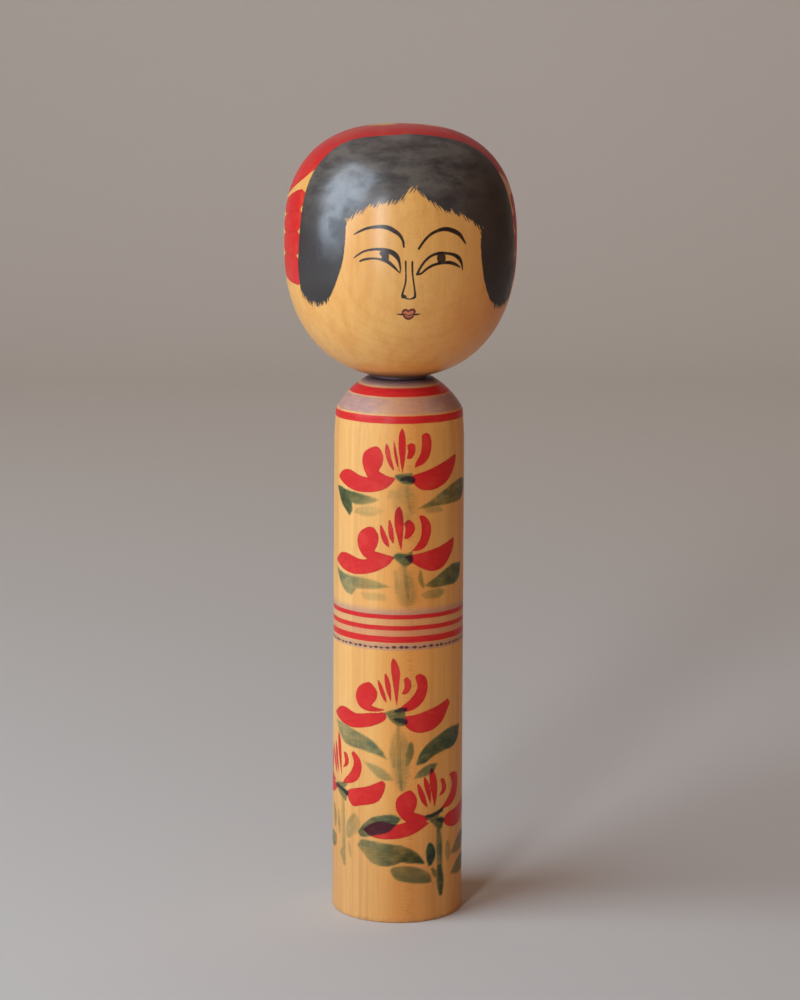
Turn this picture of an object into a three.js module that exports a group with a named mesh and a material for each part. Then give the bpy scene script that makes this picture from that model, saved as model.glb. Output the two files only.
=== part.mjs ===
// A turned wooden kokeshi doll, 364 mm tall, in the two pieces it is made of:
//   body  a cylinder with a domed shoulder, bored from the top with an undercut socket
//   head  a squarish ball whose neck, collar and beaded plug are turned in one with it
// The plug's bead is wider than the socket's mouth. It is forced in on the lathe, and from
// then on the head turns freely about the doll's axis and can't be pulled off.
// Frame: +Z up, origin at the middle of the foot, face towards -Y. Units are millimetres.
import * as THREE from "three";

// Body
const bodyHeight = 249.5; // foot to the flat ring round the neck
const footDiameter = 60.6;
const waistDiameter = 59.2; // where the straight side meets the shoulder's easing
const easingHeight = 13; // the side leans in a little here, under the shoulder's edge
const easingDepth = 0.7;
const shoulderHeight = 14.5;
const shoulderBulge = 2.9; // how far the dome's control point stands out from its chord
const footChamfer = 0.8;
const footHollowDiameter = 44; // the foot is hollowed, so the doll stands on its rim
const footHollowDepth = 0.8;

// Head
const headDiameter = 105;
const crownHeight = 53.2; // equator to crown
const chinHeight = 60.6; // equator to the point where the underside would close
const crownSquareness = 2.54; // superellipse exponents: 2 is round, more is squarer
const chinSquareness = 2.27;

// Neck joint
const neckDiameter = 19;
const neckLength = 6.2; // collar to the bead, through the socket's mouth
const collarWidth = 3; // the collar bears on the body round the mouth
const collarHeight = 1;
const beadSwell = 1.4; // how much wider the bead is than the neck, on the radius
const beadLength = 5;
const tailLength = 6;
const tailTaper = 2.2;
const seatRim = 2.4; // flat ring of the body that shows round the collar
const runningGap = 0.3; // between the head and the body, all over the joint
const socketRelief = 1.2; // more room under the plug's end

const segments = 72; // round the axis
const curveSteps = 18; // along each quarter of the head's outline

// What follows from them
const footRadius = footDiameter / 2;
const waistRadius = waistDiameter / 2;
const headRadius = headDiameter / 2;
const neckRadius = neckDiameter / 2;
const collarRadius = neckRadius + collarWidth;
const beadRadius = neckRadius + beadSwell;
const plugLength = neckLength + beadLength + tailLength;
const mouthRadius = neckRadius + runningGap;
const cavityRadius = beadRadius + runningGap;
const shoulderEdgeHeight = bodyHeight - shoulderHeight;

const point = (radius, height) => new THREE.Vector2(radius, height);

// Height above (or depth below) the equator of a superellipse, at a radius.
const superellipse = (radius, height, squareness) =>
  height * (1 - (radius / headRadius) ** squareness) ** (1 / squareness);

// Revolves an outline, given from the axis round to the axis, into a closed solid about Z.
function turned(outline) {
  const geometry = new THREE.LatheGeometry(outline, segments);
  return geometry.rotateX(Math.PI / 2);
}

function bodyOutline() {
  const seatRadius = collarRadius + seatRim;
  const edgeRadius = waistRadius - easingDepth;
  const chord = point(edgeRadius - seatRadius, -shoulderHeight);
  const outwards = point(-chord.y, chord.x).normalize();
  const dome = new THREE.QuadraticBezierCurve(
    point(edgeRadius, shoulderEdgeHeight),
    point(seatRadius, bodyHeight).addScaledVector(chord, 0.5).addScaledVector(outwards, shoulderBulge),
    point(seatRadius, bodyHeight),
  );
  const mouthDepth = neckLength - runningGap; // the lip that the bead hooks under
  const socketDepth = plugLength + socketRelief;
  return [
    point(0, footHollowDepth),
    point(footHollowDiameter / 2 - footHollowDepth, footHollowDepth),
    point(footHollowDiameter / 2, 0),
    point(footRadius - footChamfer, 0),
    point(footRadius, footChamfer),
    point(waistRadius, shoulderEdgeHeight - easingHeight),
    ...dome.getPoints(curveSteps / 2),
    point(mouthRadius, bodyHeight),
    point(mouthRadius, bodyHeight - mouthDepth),
    point(cavityRadius, bodyHeight - mouthDepth - beadSwell),
    point(cavityRadius, bodyHeight - socketDepth),
    point(0, bodyHeight - socketDepth),
  ];
}

// The head's own frame has its origin at the underside of its collar.
function headOutline() {
  const chinAtCollar = superellipse(collarRadius, chinHeight, chinSquareness);
  const equator = collarHeight + chinAtCollar;
  const collarAngle = Math.acos((collarRadius / headRadius) ** (chinSquareness / 2));
  const chin = [];
  const crown = [];
  for (let i = 0; i < curveSteps; i++) {
    const angle = collarAngle * (1 - i / curveSteps);
    const radius = headRadius * Math.cos(angle) ** (2 / chinSquareness);
    chin.push(point(radius, equator - superellipse(radius, chinHeight, chinSquareness)));
  }
  for (let i = 0; i < curveSteps; i++) {
    const angle = (Math.PI / 2) * (i / curveSteps);
    const radius = headRadius * Math.cos(angle) ** (2 / crownSquareness);
    crown.push(point(radius, equator + superellipse(radius, crownHeight, crownSquareness)));
  }
  return [
    point(0, -plugLength),
    point(beadRadius - tailTaper, -plugLength),
    point(beadRadius, -neckLength - beadLength),
    point(beadRadius, -neckLength - beadSwell),
    point(neckRadius, -neckLength),
    point(neckRadius, 0),
    point(collarRadius, 0),
    ...chin,
    ...crown,
    point(0, equator + crownHeight),
  ];
}

const paleWood = new THREE.MeshStandardMaterial({ color: 0xd9a35c, roughness: 0.45, metalness: 0 });

const doll = new THREE.Group();

const body = new THREE.Mesh(turned(bodyOutline()), paleWood);
body.name = "body";
doll.add(body);

const head = new THREE.Mesh(turned(headOutline()), paleWood.clone());
head.name = "head";
head.position.z = bodyHeight + runningGap;
doll.add(head);

export default doll;
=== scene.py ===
import math

import bpy
import numpy as np
from mathutils import Matrix, Vector


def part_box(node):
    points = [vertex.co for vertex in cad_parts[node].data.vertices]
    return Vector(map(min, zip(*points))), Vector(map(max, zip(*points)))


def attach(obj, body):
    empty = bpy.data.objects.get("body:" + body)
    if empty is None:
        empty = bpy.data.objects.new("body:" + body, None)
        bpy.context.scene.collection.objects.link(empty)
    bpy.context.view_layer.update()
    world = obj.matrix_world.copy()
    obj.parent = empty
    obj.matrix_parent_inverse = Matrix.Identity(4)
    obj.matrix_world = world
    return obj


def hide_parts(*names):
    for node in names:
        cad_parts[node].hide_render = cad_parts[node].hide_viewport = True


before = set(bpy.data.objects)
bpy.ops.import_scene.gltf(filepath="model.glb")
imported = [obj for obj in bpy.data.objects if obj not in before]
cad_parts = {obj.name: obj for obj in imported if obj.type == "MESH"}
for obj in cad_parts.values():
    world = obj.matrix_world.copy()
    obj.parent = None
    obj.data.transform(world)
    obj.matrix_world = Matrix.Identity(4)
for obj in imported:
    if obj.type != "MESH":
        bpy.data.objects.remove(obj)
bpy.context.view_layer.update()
mm = 0.001

# Heights are in mm above the foot. A place painted on the body is (around, up): around is in
# mm along a girth of this radius, from the front, and positive to the viewer's right.
girthRadius = 30.0

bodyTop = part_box("body")[1].z / mm
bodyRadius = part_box("body")[1].x / mm
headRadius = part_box("head")[1].x / mm
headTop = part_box("head")[1].z / mm
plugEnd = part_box("head")[0].z / mm


view = {
    "place": (0.0005, -1.305, 0.4366),  # metres
    "pitchDown": 10.6,  # degrees
    "roll": 0.315,
    "lens": 104.4,  # mm, with a sensor this wide
    "sensor": 36.0,
}

studio = {
    "floorWidth": 12.0,  # metres
    "floorFront": -6.0,
    "floorBack": 2.6,
    "wallHeight": 2.4,
    "coveRadius": 0.9,
    "paper": (0.62, 0.585, 0.525),
    "room": (0.155, 0.064, 0.024),
    "roomStrength": 0.85,
}

# Azimuth and elevation are in degrees, azimuth from the front and negative to the viewer's left.
# Distances, sizes and the places that the lamps are aimed at are in metres.
lamps = {
    "window": {"azimuth": -64, "elevation": 29, "distance": 1.6, "size": (1.3, 1.9), "watts": 29,
               "tint": (0.83, 1.01, 1.22), "aim": (0, 0, 0.22)},
    "doorway": {"azimuth": -20, "elevation": 13, "distance": 1.75, "size": (0.2, 1.2), "watts": 10,
                "tint": (0.94, 1.03, 1.16), "aim": (0, 0, 0.22)},
    "bounce": {"azimuth": 84, "elevation": 12, "distance": 1.8, "size": (1.3, 1.6), "watts": 1.8,
               "tint": (1.0, 0.37, 0.11), "aim": (0, 0, 0.2)},
    "backdrop": {"azimuth": 0, "elevation": 50, "distance": 1.7, "size": (3.0, 0.8), "watts": 10.5,
                 "tint": (1.0, 0.99, 0.97), "aim": (0, 2.3, 0.5)},
}


def addCamera():
    data = bpy.data.cameras.new("camera")
    data.lens = view["lens"]
    data.sensor_width = view["sensor"]
    camera = bpy.data.objects.new("camera", data)
    camera.location = view["place"]
    tilt = Matrix.Rotation(math.radians(90 - view["pitchDown"]), 4, "X")
    roll = Matrix.Rotation(math.radians(view["roll"]), 4, "Z")
    camera.rotation_euler = (tilt @ roll).to_euler()
    bpy.context.scene.collection.objects.link(camera)
    bpy.context.scene.camera = camera


def addLamp(name, lamp):
    data = bpy.data.lights.new(name, "AREA")
    data.shape = "RECTANGLE"
    data.size, data.size_y = lamp["size"]
    data.energy = lamp["watts"]
    data.color = lamp["tint"]
    around, up = math.radians(lamp["azimuth"]), math.radians(lamp["elevation"])
    away = Vector((math.sin(around) * math.cos(up), -math.cos(around) * math.cos(up), math.sin(up)))
    light = bpy.data.objects.new(name, data)
    light.location = Vector(lamp["aim"]) + away * lamp["distance"]
    light.rotation_euler = away.to_track_quat("Z", "Y").to_euler()
    bpy.context.scene.collection.objects.link(light)


class Wire:  # an output socket that takes part in Python sums
    def __init__(self, paint, socket):
        self.paint = paint
        self.socket = socket

    def sum(self, operation, *others):
        return self.paint.node("ShaderNodeMath", {"operation": operation}, dict(enumerate((self, *others))))

    def __add__(self, other):
        return self.sum("ADD", other)

    def __radd__(self, other):
        return self.sum("ADD", other)

    def __sub__(self, other):
        return self.sum("SUBTRACT", other)

    def __rsub__(self, other):
        return (self * -1).sum("ADD", other)

    def __mul__(self, other):
        return self.sum("MULTIPLY", other)

    def __truediv__(self, other):
        return self.sum("DIVIDE", other)

    def __pow__(self, other):
        return self.sum("POWER", other)


class Paint:  # a material under construction
    def __init__(self, name):
        self.material = bpy.data.materials.new(name)
        self.material.use_nodes = True
        self.tree = self.material.node_tree
        self.tree.nodes.clear()

    def node(self, kind, settings, values, output=0):
        made = self.tree.nodes.new(kind)
        for key, value in settings.items():
            setattr(made, key, value)
        for key, value in values.items():
            if isinstance(value, Wire):
                self.tree.links.new(value.socket, made.inputs[key])
            else:
                made.inputs[key].default_value = value
        return Wire(self, made.outputs[output]) if made.outputs else None

    def attribute(self, name):
        return self.node("ShaderNodeAttribute", {"attribute_name": name}, {}, "Fac")

    def place(self):  # x, y and z in millimetres
        place = self.node("ShaderNodeTexCoord", {}, {}, "Object")
        parts = self.tree.nodes.new("ShaderNodeSeparateXYZ")
        self.tree.links.new(place.socket, parts.inputs[0])
        return [Wire(self, socket) / mm for socket in parts.outputs]

    def vector(self, x, y, z):
        return self.node("ShaderNodeCombineXYZ", {}, {0: x, 1: y, 2: z})

    def noise(self, x, y, z, detail=2.0, roughness=0.5):
        values = {"Vector": self.vector(x, y, z), "Scale": 1.0, "Detail": detail, "Roughness": roughness}
        return self.node("ShaderNodeTexNoise", {}, values)

    def between(self, value, low, high, least=0.0, most=1.0):  # eases from least to most
        values = {"Value": value, "From Min": low, "From Max": high, "To Min": least, "To Max": most}
        return self.node("ShaderNodeMapRange", {"interpolation_type": "SMOOTHSTEP"}, values)

    def blend(self, share, first, second, way="MIX"):  # of colours: a mix node's sockets 6, 7 and 2
        first = first if isinstance(first, Wire) else (*first, 1)
        second = second if isinstance(second, Wire) else (*second, 1)
        settings = {"data_type": "RGBA", "blend_type": way, "clamp_factor": True}
        return self.node("ShaderNodeMix", settings, {0: share, 6: first, 7: second}, 2)


def smoothRun(points, steps=6):
    # a Catmull-Rom curve through the points, which may carry a width as a third number
    points = np.array(points, float)
    if len(points) < 3:
        return points
    padded = np.vstack([2 * points[0] - points[1], points, 2 * points[-1] - points[-2]])
    p0, p1, p2, p3 = padded[:-3, None], padded[1:-2, None], padded[2:-1, None], padded[3:, None]
    t = np.linspace(0, 1, steps, endpoint=False)[None, :, None]
    slope = (p2 - p0) / 2
    bend = p0 - 2.5 * p1 + 2 * p2 - p3 / 2
    twist = 1.5 * (p1 - p2) + (p3 - p0) / 2
    curve = p1 + t * slope + t**2 * bend + t**3 * twist
    return np.vstack([curve.reshape(-1, points.shape[1]), points[-1]])


def outlineLoop(runs):
    # each run is a smooth edge that starts where the run before it ends, and ends in a corner
    loop = []
    start = runs[-1][-1]
    for run in runs:
        loop.extend(smoothRun([start, *run])[1:])
        start = run[-1]
    return np.array(loop)


def segmentParts(spots, start, end):
    along = end - start
    share = ((spots - start) @ along / max(along @ along, 1e-12)).clip(0, 1)
    return share, np.linalg.norm(spots - start - share[:, None] * along, axis=1)


def shapeDistance(loop, spots):
    # mm to the edge of a closed shape, negative inside it
    nearest = np.full(len(spots), np.inf)
    inside = np.zeros(len(spots), bool)
    for start, end in zip(loop, np.roll(loop, -1, axis=0)):
        nearest = np.minimum(nearest, segmentParts(spots, start, end)[1])
        crosses = (start[1] > spots[:, 1]) != (end[1] > spots[:, 1])
        rise = end[1] - start[1]
        reach = start[0] + (spots[:, 1] - start[1]) * (end[0] - start[0]) / (rise if rise else 1)
        inside ^= crosses & (spots[:, 0] < reach)
    return np.where(inside, -nearest, nearest)


def strokeDistance(path, spots):
    # mm to the edge of a brush stroke whose points are (across, up, width)
    nearest = np.full(len(spots), np.inf)
    for start, end in zip(path[:-1], path[1:]):
        share, away = segmentParts(spots, start[:2], end[:2])
        nearest = np.minimum(nearest, away - (start[2] + share * (end[2] - start[2])) / 2)
    return nearest


farAway = 6.0  # mm; a distance past this isn't worked out


def isStroke(mark):
    # a mark is a stroke, a list of (across, up, width), or a shape, a list of runs
    return not hasattr(mark[0][0], "__len__")


def markDistance(mark, spots):
    stroke = isStroke(mark)
    path = smoothRun(mark) if stroke else outlineLoop(mark)
    margin = farAway + (path[:, 2].max() if stroke else 0)
    low, high = path[:, :2].min(0) - margin, path[:, :2].max(0) + margin
    near = ((spots > low) & (spots < high)).all(1)
    found = np.full(len(spots), farAway)
    measure = strokeDistance if stroke else shapeDistance
    found[near] = measure(path, spots[near]).clip(max=farAway)
    return found


def marksDistance(marks, spots):
    found = np.full(len(spots), farAway)
    for mark in marks:
        found = np.minimum(found, markDistance(mark, spots))
    return found


def deselectAll():
    if bpy.context.object and bpy.context.object.mode != "OBJECT":
        bpy.ops.object.mode_set(mode="OBJECT")
    bpy.ops.object.select_all(action="DESELECT")


mergeWithin = 0.004  # mm
creaseAngle = 38  # degrees; edges sharper than this stay crisp


def turnPiece(name, outline, sweeps):
    # Draws an outline of (radius, height) in mm at the first sweep's angle, and spins it round the
    # axis in sweeps of (end angle in degrees, steps). Angles are from the front, to the viewer's right.
    deselectAll()
    begin = math.radians(sweeps[0][0])
    ahead = Vector((math.sin(begin), -math.cos(begin), 0))
    places = [ahead * (radius * mm) + Vector((0, 0, height * mm)) for radius, height in outline]
    bpy.ops.mesh.primitive_plane_add(size=mm, location=places[0])  # merged to the first point below
    piece = bpy.context.object
    piece.name = name
    bpy.ops.object.mode_set(mode="EDIT")
    bpy.ops.mesh.select_mode(type="VERT")
    bpy.ops.mesh.select_all(action="SELECT")
    bpy.ops.mesh.merge(type="CENTER")
    for here, there in zip(places[:-1], places[1:]):
        bpy.ops.mesh.extrude_vertices_move(TRANSFORM_OT_translate={"value": there - here})
    bpy.ops.mesh.select_all(action="SELECT")
    for (before, _), (after, steps) in zip(sweeps[:-1], sweeps[1:]):
        bpy.ops.mesh.spin(steps=steps, angle=math.radians(before - after), center=(0, 0, 0), axis=(0, 0, 1))
    bpy.ops.mesh.select_all(action="SELECT")
    bpy.ops.mesh.remove_doubles(threshold=mergeWithin * mm)
    bpy.ops.mesh.normals_make_consistent(inside=False)
    bpy.ops.object.mode_set(mode="OBJECT")
    bpy.ops.object.transform_apply(location=True, rotation=True, scale=True)
    bpy.ops.object.shade_smooth_by_angle(angle=math.radians(creaseAngle))
    mapRowsAndColumns(piece, outline, sweeps)
    return piece


def meshPlaces(piece):
    places = np.empty(len(piece.data.vertices) * 3)
    piece.data.vertices.foreach_get("co", places)
    return places.reshape(-1, 3) / mm


def mapRowsAndColumns(piece, outline, sweeps):
    # The piece's own map: across goes with the sweeps' steps, up with the outline's points, so the
    # finely stepped places get most of it.
    mesh = piece.data
    places = meshPlaces(piece)
    radius = np.hypot(places[:, 0], places[:, 1])
    length = np.r_[0, np.cumsum(np.hypot(*np.diff(np.array(outline), axis=0).T))]
    # in blocks, because all the distances at once would fill the memory
    blocks = np.array_split(np.c_[radius, places[:, 2]], 80)
    rows = np.concatenate([nearestRow(block, np.array(outline)) for block in blocks])
    angle = np.degrees(np.arctan2(places[:, 0], -places[:, 1]))
    angle = (angle - sweeps[0][0]) % 360
    ends = np.array([end - sweeps[0][0] for end, _ in sweeps], float)
    counts = np.cumsum([0] + [steps for _, steps in sweeps[1:]])
    corners = np.empty(len(mesh.loops), int)
    mesh.loops.foreach_get("vertex_index", corners)
    starts = np.empty(len(mesh.polygons), int)
    mesh.polygons.foreach_get("loop_start", starts)
    face = np.repeat(np.arange(len(starts)), np.diff(np.r_[starts, len(corners)]))
    onAxis = radius[corners] < 0.01
    turn = angle[corners]
    # where a face closes the ring, its last corners count on past the full turn
    high = np.maximum.reduceat(np.where(onAxis, 0, turn), starts)[face]
    turn = np.where((high - turn > 180) & ~onAxis, turn + 360, turn)
    # on the axis every column meets, so there a corner takes the middle of its face's others
    middle = np.add.reduceat(np.where(onAxis, 0, turn), starts) / np.add.reduceat(~onAxis, starts)
    turn = np.where(onAxis, middle[face], turn)
    across = np.interp(turn, ends, counts / counts[-1])
    up = rows[corners] / (len(outline) - 1)
    layer = mesh.uv_layers.new(name="OFBake")
    layer.uv.foreach_set("vector", np.c_[across, up].astype(np.float32).ravel())


def nearestRow(spots, outline):
    return ((outline - spots[:, None]) ** 2).sum(2).argmin(1)


def keepValue(piece, name, values):
    attribute = piece.data.attributes.new(name, "FLOAT", "POINT")
    attribute.data.foreach_set("value", values.astype(np.float32))


def rounded(before, corner, after, radius, steps=4):
    # an arc-like stretch in place of a corner
    corner, before, after = (np.array(p, float) for p in (corner, before, after))
    start = corner + (before - corner) / np.linalg.norm(before - corner) * radius
    end = corner + (after - corner) / np.linalg.norm(after - corner) * radius
    t = np.linspace(0, 1, steps + 1)[:, None]
    return [tuple(p) for p in (1 - t) ** 2 * start + 2 * t * (1 - t) * corner + t**2 * end]


def stretch(start, end, spacing):
    # evenly spaced points after start, up to and with end
    start, end = np.array(start, float), np.array(end, float)
    count = max(1, round(np.linalg.norm(end - start) / spacing))
    return [tuple(start + (end - start) * i / count) for i in range(1, count + 1)]


bodyTurning = {
    "waistRadius": 29.6,
    "edgeRadius": 28.9,
    "easingHeight": 13.0,
    "shoulderHeight": 14.5,
    "shoulderBulge": 2.9,
    "seatRadius": 14.9,
    "footRound": 0.9,
    "footHollowRadius": 22.0,
    "footHollowDepth": 0.8,
    "mouthRadius": 9.8,
    "mouthDepth": 5.9,
    "cavityRadius": 11.2,
    "undercut": 1.4,
    "socketDepth": 18.4,
    "sideSpacing": 0.68,  # mm between the outline's points
    "domeSteps": 22,
    "frontStep": 1.25,  # degrees, over what is painted
    "backStep": 3.0,
    "paintedTo": 104,  # degrees to either side of the front
    "paintedBeyond": 25.0,  # mm from the axis; nothing nearer to it is painted
    "paintedAbove": 1.0,
}


def bodyOutline():
    t = bodyTurning
    edgeHeight = bodyTop - t["shoulderHeight"]
    easing = (t["waistRadius"], edgeHeight - t["easingHeight"])
    edge = np.array((t["edgeRadius"], edgeHeight))
    seat = np.array((t["seatRadius"], bodyTop))
    chord = edge - seat
    outwards = np.array((-chord[1], chord[0])) / np.linalg.norm(chord)
    bulge = seat + chord / 2 + outwards * t["shoulderBulge"]
    s = np.linspace(0, 1, t["domeSteps"] + 1)[1:, None]
    dome = (1 - s) ** 2 * edge + 2 * s * (1 - s) * bulge + s**2 * seat
    hollow = (t["footHollowRadius"], 0.0)
    hollowFoot = (hollow[0] - t["footHollowDepth"], t["footHollowDepth"])
    footCorner = (bodyRadius, 0.0)
    foot = rounded(hollow, footCorner, (bodyRadius, 5.0), t["footRound"])
    mouth = (t["mouthRadius"], bodyTop)
    lip = (t["mouthRadius"], bodyTop - t["mouthDepth"])
    shelf = (t["cavityRadius"], lip[1] - t["undercut"])
    socketFloor = (t["cavityRadius"], bodyTop - t["socketDepth"])
    return [
        (0.0, t["footHollowDepth"]),
        *stretch((0.0, t["footHollowDepth"]), hollowFoot, 3.5),
        *stretch(hollowFoot, hollow, 0.6),
        *stretch(hollow, foot[0], 2.5),
        *foot[1:],
        *stretch(foot[-1], easing, t["sideSpacing"]),
        *stretch(easing, (t["edgeRadius"], edgeHeight), t["sideSpacing"]),
        *[tuple(p) for p in dome],
        *stretch(tuple(seat), mouth, 1.7),
        *stretch(mouth, lip, 3.0),
        shelf,
        *stretch(shelf, socketFloor, 4.0),
        *stretch(socketFloor, (0.0, socketFloor[1]), 4.0),
    ]


def bodySweeps():
    t = bodyTurning
    end = t["paintedTo"]
    back = 360 - 2 * end
    return [(end - 360, 0), (-end, round(back / t["backStep"])), (end, round(2 * end / t["frontStep"]))]


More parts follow.
